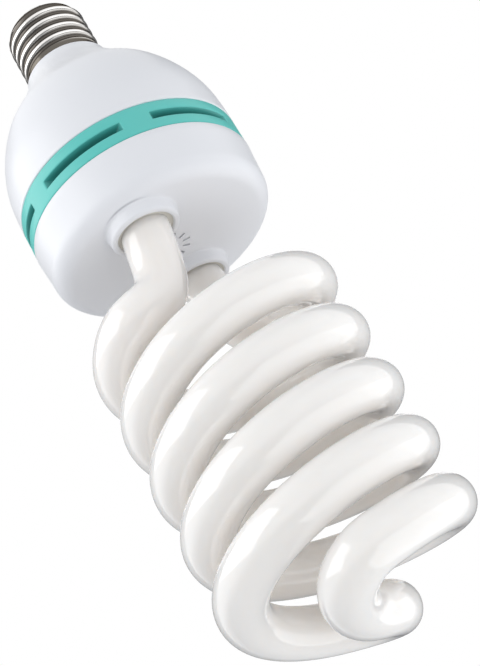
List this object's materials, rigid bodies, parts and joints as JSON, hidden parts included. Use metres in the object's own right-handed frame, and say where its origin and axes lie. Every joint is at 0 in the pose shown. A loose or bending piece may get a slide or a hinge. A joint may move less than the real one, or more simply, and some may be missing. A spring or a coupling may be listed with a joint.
{
  "type": "compact fluorescent bulb",
  "caption": "Double helix discharge tube on a vented white ballast housing with an Edison screw cap.",
  "frame": {"origin": "centre of the cap's contact face", "axes": "+Z along the lamp's axis, from the cap to the coil's far end; -Y towards the side that the picture shows"},
  "size_m": [0.0754, 0.0754, 0.2316],
  "materials": {
    "solder": "soldered tin, satin",
    "cap_glass": "black glass, glossy",
    "nickel_plate": "nickel plated brass, bright",
    "white_housing": "moulded, semi-gloss cool white",
    "teal_ring": "moulded, semi-gloss turquoise",
    "phosphor_glass": "clear glass over a white phosphor coat, glossy",
    "cement": "set cement, matt",
    "board_laminate": "paper laminate, matt tan",
    "bare_wire": "tinned wire",
    "capacitor_sleeve": "shrink sleeve, glossy dark blue",
    "ferrite": "ferrite, matt dark grey",
    "bobbin_plastic": "moulded, matt black",
    "copper_winding": "enamelled copper",
    "moulded_case": "moulded epoxy, matt black",
    "film_capacitor": "dipped resin, glossy brown-red",
    "resistor_body": "lacquered, matt",
    "lead_jacket": "insulated wire, matt"
  },
  "bodies": {
    "root": {"centre_contact": "solder", "cap_insulator": "cap_glass", "screw_shell": "nickel_plate", "upper_housing": "white_housing", "vent_ring": "teal_ring", "lower_housing": "white_housing", "discharge_tube": "phosphor_glass", "tube_cement": "cement", "circuit_board": "board_laminate", "filament_leads": "bare_wire", "electrolytic_capacitor": "capacitor_sleeve", "choke_core": "ferrite", "choke_bobbin": "bobbin_plastic", "choke_winding": "copper_winding", "toroid_core": "ferrite", "toroid_windings": "copper_winding", "power_transistors": "moulded_case", "resonant_capacitor": "film_capacitor", "coupling_capacitor": "film_capacitor", "filter_choke_core": "ferrite", "filter_choke_winding": "copper_winding", "rectifier_diodes": "moulded_case", "resistors": "resistor_body", "fuse_resistor": "resistor_body", "thermistor": "film_capacitor", "live_lead": "lead_jacket", "neutral_lead": "lead_jacket"}
  },
  "joints": []
}
